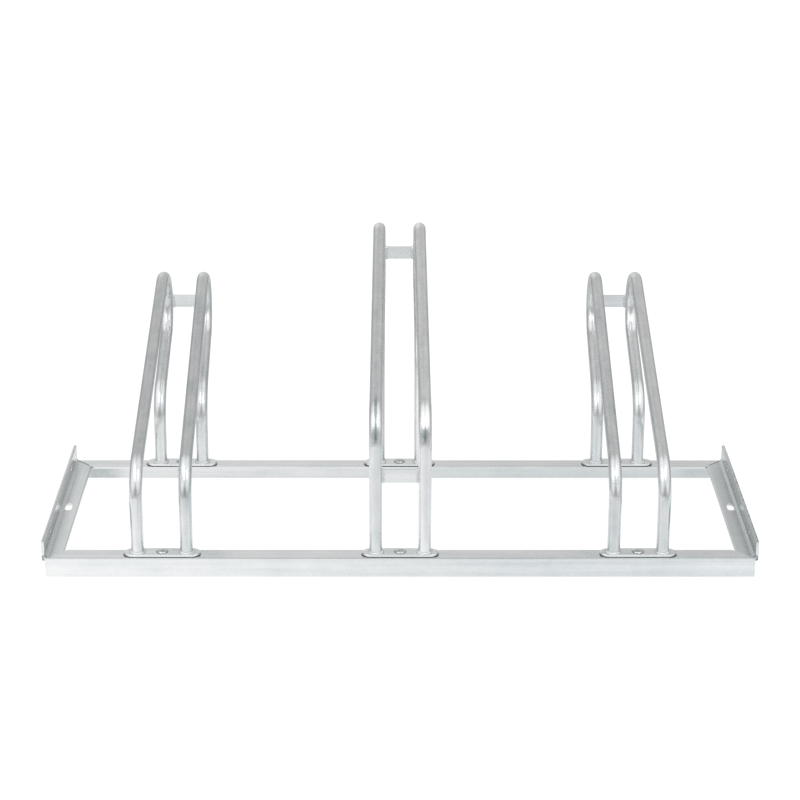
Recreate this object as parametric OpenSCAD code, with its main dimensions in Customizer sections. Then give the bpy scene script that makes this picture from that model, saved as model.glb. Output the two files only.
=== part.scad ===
// Floor bike rack for three bikes parked from one side, alternately low, high and low.
// A welded frame of steel angle bar lies on the ground. Each bike's front wheel rolls in
// between two bent tube hoops that stand on flat feet and are bolted to the two rails.
// Millimetres, +Z up, +X along the row, and the bikes come in from -Y.
// The origin is on the ground under the middle of the whole rack.

/* [Base frame] */
// Overall length of the frame along the row
frame_length = 1050; // [950:10:1200]
// Depth of the frame from the front rail's face to the rear rail's face
frame_depth = 390; // [350:5:430]
// Leg of the angle bar
angle_leg = 30; // [28:1:38]
// Thickness of the angle bar
angle_thickness = 4; // [3:0.5:5]
// Radius of the outer corner of the angle bar
angle_corner_radius = 1; // [0.5:0.25:2]
// Radius of the hollow inside the angle bar's corner
angle_root_radius = 5; // [3:0.5:5.5]
// Radius of the inner edge at the end of each leg of the angle bar
angle_toe_radius = 2.5; // [1:0.25:2.75]

/* [Holes in the end bars] */
// Width of the slot for the ground anchor
anchor_slot_width = 11; // [9:0.5:12]
// End to end length of the slot for the ground anchor
anchor_slot_length = 28; // [20:1:40]
// Distance from the outer face of the end bar to the middle of the anchor slot
anchor_slot_inset = 15; // [15:0.5:17]
// Diameter of the holes that join this rack to the next one in a row
join_hole_diameter = 12; // [8:0.5:13]
// Distance between the two row-joining holes of one end bar
join_hole_spacing = 250; // [200:5:300]
// Height of the row-joining holes over the top of the frame
join_hole_rise = 13; // [12:0.5:15]

/* [Bent hoops] */
// Distance from one wheel holder to the next
holder_pitch = 350; // [300:5:400]
// Outside diameter of the tube
tube_diameter = 19; // [15:0.5:20]
// Wall thickness of the tube
tube_wall = 2; // [1.5:0.25:3]
// Distance between the two hoops of a holder at their front legs, centre to centre
front_leg_spacing = 72; // [66:0.5:80]
// Distance between the two hoops of a holder at their rear legs, centre to centre
rear_leg_spacing = 66.5; // [62:0.5:72]
// Height of a low holder over the ground
low_height = 315; // [300:1:340]
// How much higher the centre holder stands
high_lift = 83; // [60:1:120]
// Distance from the front rail's face to the back of the hoops
hoop_reach = 555; // [530:1:600]
// Rise of the tube from the front leg to the nose, over the level
slope_angle = 18; // [14:0.5:20]
// Rise of the tube from the rear leg to the nose, over the level
return_angle = 23.5; // [18:0.5:26]
// Bend radius of the nose at the back, to the middle of the tube
nose_radius = 55; // [45:1:60]
// Bend radius over each leg, to the middle of the tube
leg_bend_radius = 60; // [50:1:75]

/* [Feet and straps] */
// Length of a foot plate
foot_length = 112; // [106:1:125]
// Width of a foot plate
foot_width = 26; // [25:0.5:28]
// Thickness of a foot plate
foot_thickness = 4; // [3:0.5:6]
// Radius of the upper edge of a foot plate
foot_edge_radius = 0.8; // [0.4:0.1:1.5]
// Leg of the fillet weld between a tube and its foot plate
foot_weld_leg = 2.5; // [1.5:0.25:2.5]
// Height of the straps between the two hoops of a holder
strap_height = 20; // [14:1:25]
// Thickness of the straps
strap_thickness = 4; // [3:0.5:6]
// Height of the middle of the centre holder's lower strap over the ground
lower_strap_height = 154; // [80:2:170]

/* [Fasteners] */
// Diameter of the bolt shank
bolt_diameter = 8; // [6:0.5:10]
// Length of the bolt under its head
bolt_length = 21; // [19:0.5:24]
// Diameter of the mushroom head
bolt_head_diameter = 16.5; // [15:0.5:20]
// Height of the mushroom head
bolt_head_height = 3.6; // [2.5:0.1:4.5]
// Width of the square neck under the head
bolt_neck_width = 8; // [8:0.25:10]
// Outside diameter of the washer
washer_diameter = 16; // [14:0.5:18]
// Thickness of the washer
washer_thickness = 1.6; // [1:0.1:2]
// Width of the nut across its flats
nut_width = 13; // [12:0.5:14]
// Height of the nut
nut_height = 6.5; // [5:0.25:7]

/* [Hidden] */
$fn = 64;

// How far a cutting shape runs past the surface that it cuts
cut_overrun = 1;
// How much slimmer the tube is drawn where it is bent, on its radius
bend_draw = 0.05;
// How far a straight length of tube laps into the bend at its end
bend_lap = 0.2;
// Clearance all round a bolt in the foot plate's square hole
neck_clearance = 0.25;
// Clearance all round a bolt in the rail's round hole
shank_clearance = 0.5;
// Clearance all round a bolt in its washer and its nut
thread_clearance = 0.1;
// Straight rim below the dome of the bolt head
head_rim_height = 0.9;
// Chamfer at the tip of the bolt
tip_chamfer = 1;
// Depth of the chamfer on the corners of the nut
nut_chamfer = 0.8;

tube_radius = tube_diameter / 2;
// Top of the frame, and the top of the foot plates on it
frame_top = angle_leg;
foot_top = frame_top + foot_thickness;
// Both pairs of legs stand on the middle of the rails' top legs
front_leg_y = angle_leg / 2;
rear_leg_y = frame_depth - angle_leg / 2;
leg_distance = rear_leg_y - front_leg_y;

// The two hoops of a holder stand closer at the back, so each plane is turned a little
toe_angle = atan((front_leg_spacing - rear_leg_spacing) / 2 / leg_distance);
// Lengths along a hoop's own plane, from the middle of its front leg
leg_span = leg_distance / cos(toe_angle);
nose_back = (hoop_reach - tube_radius - front_leg_y) / cos(toe_angle);
nose_span = nose_back - nose_radius;

// The middle of the nose is the rearmost point of the tube, where the top strap sits
strap_y = hoop_reach - tube_radius;
strap_spacing = front_leg_spacing - 2 * (strap_y - front_leg_y) * tan(toe_angle);

overall_depth = max(frame_depth, hoop_reach);
holder_places = [-holder_pitch, 0, holder_pitch];
foot_places = [front_leg_y, rear_leg_y];

// Height of the nose centre of a hoop that is lifted by some amount
function nose_height(lift) = low_height + lift - tube_radius - nose_radius;

// A point on a bend, from its centre, its radius and its angle over the level
function on_bend(centre, radius, angle) = centre + radius * [cos(angle), sin(angle)];

// Centre of the bend over a leg. The leg stands at a distance along the hoop's plane, and
// the bend ends tangent to a straight tube that rises at an angle and then runs through a point.
function leg_bend_centre(leg, angle, point) =
    let (run = point[0] - leg - leg_bend_radius * (1 - sin(angle)))
    [leg + leg_bend_radius, point[1] - run * tan(angle) - leg_bend_radius * cos(angle)];

// Section of the angle bar, with its outer corner at the origin
module angle_section() {
    difference() {
        union() {
            square([angle_leg, angle_thickness]);
            square([angle_thickness, angle_leg]);
            translate([angle_thickness, angle_thickness])
                difference() {
                    square(angle_root_radius);
                    translate([angle_root_radius, angle_root_radius]) circle(angle_root_radius);
                }
        }
        translate([angle_leg - angle_toe_radius, angle_thickness - angle_toe_radius])
            edge_cut(angle_toe_radius);
        translate([angle_thickness - angle_toe_radius, angle_leg - angle_toe_radius])
            edge_cut(angle_toe_radius);
        translate([angle_corner_radius, angle_corner_radius])
            rotate(180) edge_cut(angle_corner_radius);
    }
}

// What is rounded off an edge whose sides face +X and +Y, from the middle of its radius
module edge_cut(radius) {
    difference() {
        square(radius + cut_overrun);
        circle(radius);
    }
}

// Rail along the front, with one leg on top and the other down the front face.
// The top leg is mitred at both ends, from the inner face of each end bar.
module rail() {
    rail_end = frame_length / 2 - angle_thickness;
    difference() {
        intersection() {
            translate([-rail_end, 0, frame_top])
                rotate([0, 90, 0]) linear_extrude(2 * rail_end) angle_section();
            linear_extrude(frame_top)
                polygon([
                    [-rail_end, 0], [rail_end, 0],
                    [rail_end - angle_leg, angle_leg], [angle_leg - rail_end, angle_leg]
                ]);
        }
        for (x = holder_places)
            translate([x, front_leg_y, frame_top - angle_thickness - cut_overrun])
                cylinder(h = angle_thickness + 2 * cut_overrun,
                         r = bolt_diameter / 2 + shank_clearance);
    }
}

// End bar on the left, with one leg level with the rails' tops and the other standing up
// at the outside. It carries the anchor slot and the two row-joining holes.
module end_bar() {
    outer = -frame_length / 2;
    root = outer + angle_thickness;
    toe = outer + angle_leg;
    mitre = angle_leg - angle_thickness;
    difference() {
        intersection() {
            translate([outer, frame_depth, frame_top - angle_thickness])
                rotate([90, 0, 0]) linear_extrude(frame_depth) angle_section();
            linear_extrude(frame_top + angle_leg)
                polygon([
                    [outer, 0], [root, 0], [toe, mitre],
                    [toe, frame_depth - mitre], [root, frame_depth], [outer, frame_depth]
                ]);
        }
        translate([outer + anchor_slot_inset, frame_depth / 2, frame_top - angle_thickness - cut_overrun])
            anchor_slot(angle_thickness + 2 * cut_overrun);
        for (side = [-1, 1])
            translate([outer - cut_overrun, frame_depth / 2 + side * join_hole_spacing / 2,
                       frame_top + join_hole_rise])
                rotate([0, 90, 0])
                    cylinder(h = angle_thickness + 2 * cut_overrun, d = join_hole_diameter);
    }
}

// Cutting shape of the anchor slot, which runs along Y
module anchor_slot(height) {
    half_run = (anchor_slot_length - anchor_slot_width) / 2;
    translate([-anchor_slot_width / 2, -half_run, 0])
        cube([anchor_slot_width, 2 * half_run, height]);
    for (side = [-1, 1])
        translate([0, side * half_run, 0]) cylinder(h = height, d = anchor_slot_width);
}

// Round bar between two points of the hoop's plane, which laps into the bends at its ends
module straight_bar(radius, from, to, first_lap, last_lap) {
    run = to - from;
    translate([0, from[0], from[1]])
        rotate([atan2(run[1], run[0]) - 90, 0, 0])
            translate([0, 0, -first_lap])
                cylinder(h = first_lap + norm(run) + last_lap, r = radius);
}

// Round bar bent about a centre in the hoop's plane, from one angle over the level to another
module bent_bar(radius, centre, bend_radius, first, last) {
    translate([0, centre[0], centre[1]])
        rotate([90, 0, 90]) rotate([0, 0, first])
            rotate_extrude(angle = last - first)
                translate([bend_radius, 0]) circle(radius - bend_draw);
}

// The round end of a hoop at the back, where the tube turns over
module nose(radius, lift) {
    bent_bar(radius, [nose_span, nose_height(lift)], nose_radius,
             return_angle - 90, slope_angle + 90);
}

// One unbroken run: up the front leg, back and up the slope, over the nose, and down to the
// rear leg. It is drawn in the plane of Y and Z, from the middle of the front leg.
module hoop_run(radius, lift, foot_overrun) {
    nose_centre = [nose_span, nose_height(lift)];
    slope_end = on_bend(nose_centre, nose_radius, slope_angle + 90);
    return_end = on_bend(nose_centre, nose_radius, return_angle - 90);
    front_bend = leg_bend_centre(0, slope_angle, slope_end);
    rear_bend = leg_bend_centre(leg_span, return_angle, return_end);
    slope_start = on_bend(front_bend, leg_bend_radius, slope_angle + 90);
    return_start = on_bend(rear_bend, leg_bend_radius, return_angle + 90);

    straight_bar(radius, [0, foot_top], [0, front_bend[1]], foot_overrun, bend_lap);
    bent_bar(radius, front_bend, leg_bend_radius, slope_angle + 90, 180);
    straight_bar(radius, slope_start, slope_end, bend_lap, bend_lap);
    nose(radius, lift);
    straight_bar(radius, return_start, return_end, bend_lap, bend_lap);
    bent_bar(radius, rear_bend, leg_bend_radius, return_angle + 90, 180);
    straight_bar(radius, [leg_span, foot_top], [leg_span, rear_bend[1]], foot_overrun, bend_lap);
}

// One hoop of open tube
module hoop_tube(lift) {
    difference() {
        hoop_run(tube_radius, lift, 0);
        hoop_run(tube_radius - tube_wall, lift, cut_overrun);
    }
}

// Puts what is drawn in a hoop's plane at its place in a holder: side is -1 or 1
module at_hoop(side) {
    translate([side * front_leg_spacing / 2, front_leg_y, 0])
        rotate([0, 0, side * toe_angle]) children();
}

// Half of the section across a foot plate, from its middle to its rounded upper edge
module half_foot_section() {
    difference() {
        square([foot_width / 2, foot_thickness]);
        translate([foot_width / 2 - foot_edge_radius, foot_thickness - foot_edge_radius])
            edge_cut(foot_edge_radius);
    }
}

// Foot plate with round ends, a square hole for the bolt's neck and a weld round each tube
module foot(leg_spacing) {
    half_run = (foot_length - foot_width) / 2;
    hole = bolt_neck_width + 2 * neck_clearance;
    difference() {
        union() {
            translate([-half_run, 0, frame_top])
                rotate([90, 0, 90]) linear_extrude(2 * half_run) {
                    half_foot_section();
                    mirror([1, 0]) half_foot_section();
                }
            for (side = [-1, 1])
                translate([side * half_run, 0, frame_top])
                    rotate([0, 0, -90 * side]) rotate_extrude(angle = 180) half_foot_section();
            for (side = [-1, 1])
                translate([side * leg_spacing / 2, 0, foot_top]) foot_weld();
        }
        translate([-hole / 2, -hole / 2, frame_top - cut_overrun])
            cube([hole, hole, foot_thickness + 2 * cut_overrun]);
    }
}

// Fillet weld round the end of a tube
module foot_weld() {
    rotate_extrude()
        polygon([
            [tube_radius, 0], [tube_radius + foot_weld_leg, 0], [tube_radius, foot_weld_leg]
        ]);
}

// Strap between the noses of a holder's two hoops, shaped at its ends to the round tubes
module top_strap(lift) {
    difference() {
        translate([-strap_spacing / 2, strap_y - strap_thickness / 2,
                   nose_height(lift) - strap_height / 2])
            cube([strap_spacing, strap_thickness, strap_height]);
        for (side = [-1, 1]) at_hoop(side) nose(tube_radius, lift);
    }
}

// Strap between the front legs of the centre holder, which lifts the wheel that rolls over it
module lower_strap() {
    low_edge = lower_strap_height - strap_height / 2;
    difference() {
        translate([-front_leg_spacing / 2, front_leg_y - strap_thickness / 2, low_edge])
            cube([front_leg_spacing, strap_thickness, strap_height]);
        for (side = [-1, 1])
            translate([side * front_leg_spacing / 2, front_leg_y, low_edge - cut_overrun])
                cylinder(h = strap_height + 2 * cut_overrun, r = tube_radius);
    }
}

// Bolt with a domed head and a square neck, hanging from the top of the foot plate
module mushroom_bolt() {
    dome_height = bolt_head_height - head_rim_height;
    head_radius = bolt_head_diameter / 2;
    dome_radius = (pow(head_radius, 2) + pow(dome_height, 2)) / (2 * dome_height);
    shank_radius = bolt_diameter / 2;
    cylinder(h = head_rim_height, r = head_radius);
    translate([0, 0, head_rim_height])
        rotate_extrude()
            intersection() {
                translate([0, dome_height - dome_radius]) circle(dome_radius);
                square([head_radius, dome_height]);
            }
    translate([-bolt_neck_width / 2, -bolt_neck_width / 2, -foot_thickness])
        cube([bolt_neck_width, bolt_neck_width, foot_thickness]);
    translate([0, 0, tip_chamfer - bolt_length])
        cylinder(h = bolt_length - tip_chamfer - foot_thickness, r = shank_radius);
    translate([0, 0, -bolt_length])
        cylinder(h = tip_chamfer, r1 = shank_radius - tip_chamfer, r2 = shank_radius);
}

// Plain washer, lying against the underside of the rail
module flat_washer() {
    translate([0, 0, -washer_thickness])
        linear_extrude(washer_thickness)
            difference() {
                circle(d = washer_diameter);
                circle(bolt_diameter / 2 + thread_clearance);
            }
}

// Hexagon nut with chamfered corners, lying against the washer
module hex_nut() {
    corner_radius = nut_width / 2 / cos(30);
    translate([0, 0, -nut_height])
        difference() {
            intersection() {
                cylinder(h = nut_height, r = corner_radius, $fn = 6);
                rotate_extrude()
                    polygon([
                        [0, 0], [nut_width / 2, 0], [corner_radius, nut_chamfer],
                        [corner_radius, nut_height - nut_chamfer], [nut_width / 2, nut_height],
                        [0, nut_height]
                    ]);
            }
            translate([0, 0, -cut_overrun])
                cylinder(h = nut_height + 2 * cut_overrun, r = bolt_diameter / 2 + thread_clearance);
        }
}

// Draws its children at the middle of every foot, at a height over the ground
module at_every_bolt(height) {
    for (x = holder_places)
        for (y = foot_places)
            translate([x, y, height]) children();
}

// Moves what is measured from the front rail's face to the rack's own origin
module from_front() {
    translate([0, -overall_depth / 2, 0]) children();
}

// Paint the pieces as the galvanised steel and the zinc-plated fasteners look
module galvanised() {
    color([0.72, 0.74, 0.75]) from_front() children();
}

module zinc_plated() {
    color([0.80, 0.81, 0.82]) from_front() children();
}

module front_rail() {
    galvanised() rail();
}

module rear_rail() {
    galvanised() translate([0, frame_depth, 0]) mirror([0, 1, 0]) rail();
}

module left_end_bar() {
    galvanised() end_bar();
}

module right_end_bar() {
    galvanised() mirror([1, 0, 0]) end_bar();
}

// One hoop of the holder in the given place along the row
module hoop(place, side, lift = 0) {
    galvanised() translate([holder_places[place], 0, 0]) at_hoop(side) hoop_tube(lift);
}

module front_foot(place) {
    galvanised() translate([holder_places[place], front_leg_y, 0]) foot(front_leg_spacing);
}

module rear_foot(place) {
    galvanised() translate([holder_places[place], rear_leg_y, 0]) foot(rear_leg_spacing);
}

module holder_top_strap(place, lift = 0) {
    galvanised() translate([holder_places[place], 0, 0]) top_strap(lift);
}

module centre_holder_lower_strap() {
    galvanised() translate([holder_places[1], 0, 0]) lower_strap();
}

module mushroom_bolts() {
    zinc_plated() at_every_bolt(foot_top) mushroom_bolt();
}

module flat_washers() {
    zinc_plated() at_every_bolt(frame_top - angle_thickness) flat_washer();
}

module hex_nuts() {
    zinc_plated() at_every_bolt(frame_top - angle_thickness - washer_thickness) hex_nut();
}

front_rail();
rear_rail();
left_end_bar();
right_end_bar();
hoop(0, -1);  // left_holder_left_hoop
hoop(0, 1);  // left_holder_right_hoop
front_foot(0);  // left_holder_front_foot
rear_foot(0);  // left_holder_rear_foot
holder_top_strap(0);  // left_holder_top_strap
hoop(1, -1, high_lift);  // centre_holder_left_hoop
hoop(1, 1, high_lift);  // centre_holder_right_hoop
front_foot(1);  // centre_holder_front_foot
rear_foot(1);  // centre_holder_rear_foot
holder_top_strap(1, high_lift);  // centre_holder_top_strap
centre_holder_lower_strap();
hoop(2, -1);  // right_holder_left_hoop
hoop(2, 1);  // right_holder_right_hoop
front_foot(2);  // right_holder_front_foot
rear_foot(2);  // right_holder_rear_foot
holder_top_strap(2);  // right_holder_top_strap
mushroom_bolts();
flat_washers();
hex_nuts();
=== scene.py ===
"""Dresses a floor bike rack for three bikes: bent tube hoops on a galvanised angle bar frame.

The packed solids give every place. The hoops, their feet, the weld beads and the bolts are
made again here as smooth surfaces, and every piece gets its zinc finish. Lengths are metres.
"""

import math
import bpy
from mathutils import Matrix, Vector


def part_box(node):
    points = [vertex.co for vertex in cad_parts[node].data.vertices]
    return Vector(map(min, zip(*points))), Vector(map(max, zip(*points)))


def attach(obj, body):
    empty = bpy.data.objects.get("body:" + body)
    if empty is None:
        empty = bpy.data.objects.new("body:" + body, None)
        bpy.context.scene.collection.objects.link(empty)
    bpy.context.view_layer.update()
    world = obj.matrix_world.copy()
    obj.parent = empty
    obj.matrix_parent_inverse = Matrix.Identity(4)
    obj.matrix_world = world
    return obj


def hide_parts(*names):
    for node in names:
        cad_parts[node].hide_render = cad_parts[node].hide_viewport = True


bl_info = {
    "name": "Floor bike rack",
    "version": (1, 0, 0),
    "blender": (4, 5, 0),
    "location": "3D View > Sidebar > Bike rack",
    "description": "Makes the hoops, feet, welds and bolts of a floor bike rack, and their zinc",
    "category": "Add Mesh",
}

import bpy
import numpy as np
from bpy.props import FloatProperty, FloatVectorProperty, IntProperty, PointerProperty
from mathutils import Matrix

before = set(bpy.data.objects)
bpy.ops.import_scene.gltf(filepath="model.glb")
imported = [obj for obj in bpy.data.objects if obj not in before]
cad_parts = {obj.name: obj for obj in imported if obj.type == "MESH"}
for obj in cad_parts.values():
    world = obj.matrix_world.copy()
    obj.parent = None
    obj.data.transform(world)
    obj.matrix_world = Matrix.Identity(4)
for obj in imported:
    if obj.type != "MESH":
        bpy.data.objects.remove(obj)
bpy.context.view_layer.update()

HOLDERS = ("left", "centre", "right")
SIDES = {"left": -1, "right": 1}
FEET = [(holder, end) for holder in HOLDERS for end in ("front", "rear")]
# How much lighter or darker the zinc of each hoop came out, from 0 for the middling tone
HOOP_TONES = {("left", "left"): -0.24, ("left", "right"): -0.34, ("centre", "left"): -0.08,
              ("centre", "right"): 0.12, ("right", "left"): -0.22, ("right", "right"): -0.07}
# Dark reflections painted into each front bend, laid on as zinc rubbed dull: how far into
# the bend, in metres, how strong the patch there is and how strong the line that runs on from it
HOOP_REFLECTION_PAINT = {("left", "left"): (0.041, 0.35, 0.0), ("left", "right"): (0.036, 0.45, 0.0),
              ("centre", "left"): (0.020, 1.40, 0.90), ("centre", "right"): (0.020, 1.60, 0.05),
              ("right", "left"): (0.029, 0.45, 0.15), ("right", "right"): (0.031, 0.35, 0.10)}
# How far apart the hoops lie in the coat's patterns, so that no two look alike
TUBES_APART = 3.0
# Cosines round the tube, from its outer line, where a painted dark patch or line begins and is full
PATCH_EDGES = (0.62, 0.98)
LINE_EDGES = (0.945, 0.985)
# How square the holes in the feet and the bolts' necks are: the power in |x|^p + |y|^p
HOLE_SQUARENESS = 8
NECK_SQUARENESS = 9
# How many times faster the dents in a bolt's head change with the height, in metres, than with
# the heading, in radians
DENT_TURN = 900
# Radius of the smallest ring of a turned shape, next to its axis
ON_AXIS = 1e-5
# Angles between faces from which an edge is sharp: on most pieces, on the plates, on the beads
CREASE = math.radians(38)
PLATE_CREASE = math.radians(32)
BEAD_CREASE = math.radians(60)
GALVANISED = "galvanised_steel"
PLATED = "zinc_plated_fasteners"


def length(name, description, default):
    """A length in metres, shown in the scene's unit."""
    return FloatProperty(name=name, description=description, default=default,
                         min=0, precision=4, unit="LENGTH")


def share(name, description, default):
    """A number from 0 to 1."""
    return FloatProperty(name=name, description=description, default=default, min=0, max=1,
                         subtype="FACTOR")


def whole(name, description, default):
    """A whole number of points, rows or ripples."""
    return IntProperty(name=name, description=description, default=default, min=3)


def slant(name, description, degrees):
    """An angle, given in degrees and kept in radians."""
    return FloatProperty(name=name, description=description, default=math.radians(degrees),
                         unit="ROTATION")


def brightness(name, description, default, unit="NONE"):
    """A strength of light."""
    return FloatProperty(name=name, description=description, default=default, min=0, unit=unit)


def millimetres(name, description, default):
    """A length of the camera's own, in millimetres."""
    return FloatProperty(name=name, description=description, default=default,
                         min=1, unit="CAMERA")


def colour(name, description, default):
    """A colour that a finish is mixed from."""
    return FloatVectorProperty(name=name, description=description, default=default,
                               subtype="COLOR", size=3, min=0, max=1)


# Sizes and colours that a user would change


class HoopSizes(bpy.types.PropertyGroup):
    """The bent tube and the way it runs"""

    tube_diameter: length("Tube diameter", "Outside diameter of the tube", 0.019)
    tube_wall: length("Tube wall", "Wall thickness of the tube", 0.002)
    reach: length("Reach", "Distance from the front rail's face to the back of the hoops", 0.555)
    front_spacing: length("Front spacing", "Distance between a holder's two front legs", 0.072)
    rear_spacing: length("Rear spacing", "Distance between a holder's two rear legs", 0.0665)
    nose_radius: length("Nose radius", "Bend radius at the back, to the middle of the tube", 0.055)
    leg_bend_radius: length("Leg bend radius", "Bend radius over each leg", 0.060)
    slope_angle: slant("Slope", "Rise from the front leg to the nose", 18)
    return_angle: slant("Return", "Rise from the rear leg to the nose", 23.5)
    bend_flattening: share("Bend flattening", "How far bending flattens the tube's section", 0.035)
    bend_ramp: length("Bend ramp", "Length over which the flattening comes in", 0.014)
    # The patch and the line are dark reflections painted into the front bends
    shade_patch_length: length("Shade patch length", "How far a rubbed patch reaches along the tube", 0.008)
    shade_line_end: length("Shade line end", "From the front bend's foot to the end of the rubbed line", 0.085)
    step: length("Step", "Distance between the rings of the surface", 0.004)
    sides: whole("Sides", "Points round the tube", 40)


class FootSizes(bpy.types.PropertyGroup):
    """The foot plates and their square holes"""

    edge_radius: length("Edge radius", "Radius of a plate's upper edge", 0.0010)
    lower_edge: length("Lower edge", "Radius of a plate's lower edge", 0.0009)
    hole_width: length("Hole width", "Width of the square hole for the bolt's neck", 0.0085)
    waviness: length("Waviness", "How far the ground outline strays", 0.00015)
    outline_points: whole("Outline points", "Points round a plate", 240)
    edge_rows: whole("Edge rows", "Rows of points over a rounded edge", 6)


class WeldSizes(bpy.types.PropertyGroup):
    """The beads round the legs and at the ends of the straps"""

    leg: length("Bead leg", "Leg of the bead between a tube and its foot plate", 0.0026)
    ripples: whole("Ripples", "Ripples in one bead round a leg", 30)
    ripple_depth: share("Ripple depth", "Depth of the ripples, as a share of the bead", 0.16)
    unevenness: share("Unevenness", "How much the bead's leg changes along it", 0.16)
    root: length("Bead root", "How deep a bead round a leg lies in the steel", 0.0011)
    strap_ripples: whole("Strap ripples", "Ripples in one bead round a strap's end", 18)
    strap_unevenness: share("Strap unevenness", "How much a strap's bead changes along it", 0.20)
    strap_root: length("Strap root", "How deep a bead round a strap lies in the steel", 0.0010)
    strap_flare: length("Strap flare", "How far a bead runs out along its strap", 0.0040)
    strap_stand: length("Strap stand", "How far a bead stands off the face of its strap", 0.0013)
    points: whole("Points", "Points along a bead round a leg", 208)
    section_points: whole("Section points", "Points round the section of such a bead", 20)
    strap_points: whole("Strap points", "Points along a bead round a strap's end", 220)
    strap_section_points: whole("Strap section points", "Points round the section of it", 18)


class BoltSizes(bpy.types.PropertyGroup):
    """The mushroom-head bolts"""

    head_diameter: length("Head diameter", "Diameter of the mushroom head", 0.0165)
    head_height: length("Head height", "Height of the mushroom head", 0.0036)
    rim_height: length("Rim height", "Height of the head's rim, under the dome", 0.0009)
    rim_edge: length("Rim edge", "How far the rim's edges are rounded", 0.0003)
    dents: length("Dents", "How deep the head is dented", 0.00006)
    neck_width: length("Neck width", "Width of the square neck under the head", 0.008)
    shank_diameter: length("Shank diameter", "Diameter over the thread", 0.008)
    thread_pitch: length("Thread pitch", "Distance from one thread to the next", 0.00125)
    thread_depth: length("Thread depth", "Depth of the thread", 0.0007)
    thread_runout: length("Thread run-out", "Plain shank between the thread and the neck", 0.0012)
    tip_chamfer: length("Tip chamfer", "Chamfer at the tip of the bolt", 0.001)
    points_round: whole("Points round", "Points round the bolt", 48)
    thread_rows: whole("Thread rows", "Rows of points along the thread", 84)
    dome_rows: whole("Dome rows", "Rows of points over the dome", 15)


class SteelFinish(bpy.types.PropertyGroup):
    """The zinc on the bars, the tubes and the fasteners"""

    light_zinc: colour("Light zinc", "Clean zinc, where the coat is bright", (0.866, 0.871, 0.873))
    warm_zinc: colour("Warm zinc", "Zinc where the coat has a warm cast", (0.775, 0.750, 0.755))
    dark_zinc: colour("Dark zinc", "Zinc where the coat has dulled", (0.582, 0.617, 0.626))
    # Dull zinc also paints the dark reflections in the tubes' bends and the shade on the end bars
    dull_and_shaded_zinc: colour("Dull and shaded zinc", "Zinc worn or rubbed dull", (0.33, 0.37, 0.375))
    # This dark also paints the contact shadows round the feet and the bolts' heads and the shade in
    # the roots and the mitres, besides dirt and pits
    dark_grime_and_shade: colour("Grime and shade", "Dirt and flux in seams and corners", (0.10, 0.105, 0.11))
    bead_zinc: colour("Bead zinc", "Zinc paint on the weld beads", (0.74, 0.75, 0.76))
    plating: colour("Plating", "Bright plating of the bolts, washers and nuts", (0.66, 0.67, 0.68))
    roughness: share("Roughness", "Roughness of the galvanised coat", 0.26)
    cloud_size: length("Cloud size", "Size of the broad clouds in the coat", 0.060)
    patch_size: length("Patch size", "Size of the patches in the coat", 0.011)
    crystal_size: length("Crystal size", "Size of the zinc crystals", 0.0045)
    grain_size: length("Grain size", "Size of the fine grain", 0.0008)


class Studio(bpy.types.PropertyGroup):
    """The camera, the floor and the lamps"""

    camera_place: FloatVectorProperty(name="Camera place", description="Where the camera stands",
                                      default=(-0.0144, -3.511, 1.464),
                                      subtype="XYZ", unit="LENGTH")
    camera_lens: millimetres("Lens", "Focal length of the lens", 108.36)
    sensor_width: millimetres("Sensor", "Width of the sensor", 36)
    camera_pitch: slant("Pitch", "How far the camera looks down", 20.16)
    camera_yaw: slant("Yaw", "How far the camera is turned to its left", -0.242)
    camera_roll: slant("Roll", "How far the camera is rolled about the way it looks", 0.101)
    floor_radius: length("Floor radius", "Radius of the studio floor", 12.0)
    floor_colour: colour("Floor colour", "Colour of the studio floor", (0.86, 0.86, 0.86))
    floor_tint: colour("Floor tint", "Cast of the floor's right half where it is mirrored",
                       (0.955, 0.985, 1.0))
    room_light: brightness("Room light", "Strength of the light from all round", 0.585)
    lamp_power: brightness("Lamp power", "Power of the large lamp on the left", 3.3, "POWER")
    side_power: brightness("Side power", "Power of the smaller lamp on the right", 2.4, "POWER")


# Surfaces


def grid_faces(rows, columns, close_rows=False, close_columns=False):
    """Quads of a grid whose vertices are numbered row by row. Each joins a vertex, the next in
    its row and the two that follow them in the next row; a closed way ends where it began."""
    row = np.arange(rows if close_rows else rows - 1)[:, None]
    column = np.arange(columns if close_columns else columns - 1)[None, :]
    next_row = (row + 1) % rows
    next_column = (column + 1) % columns
    corners = (row * columns + column, row * columns + next_column,
               next_row * columns + next_column, next_row * columns + column)
    return np.stack([np.broadcast_to(c, (row.size, column.size)) for c in corners],
                    axis=-1).reshape(-1, 4)


def enclosed_volume(points, quads):
    """Volume inside a closed surface: a third of the sum, over its triangles, of one corner
    times half the cross product of two edges. It is negative where the faces point inwards."""
    a, b, c, d = (points[quads[:, k]] for k in range(4))
    first = np.einsum("ij,ij->i", a, np.cross(b, c))
    second = np.einsum("ij,ij->i", a, np.cross(c, d))
    return (first.sum() + second.sum()) / 6


def closed_shell(grid):
    """Points and outward quads of a grid, rows by columns by 3, that closes both ways."""
    rows, columns = grid.shape[:2]
    points = grid.reshape(-1, 3)
    quads = grid_faces(rows, columns, True, True)
    if enclosed_volume(points, quads) < 0:
        quads = quads[:, ::-1]
    return points, quads.tolist()


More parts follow.
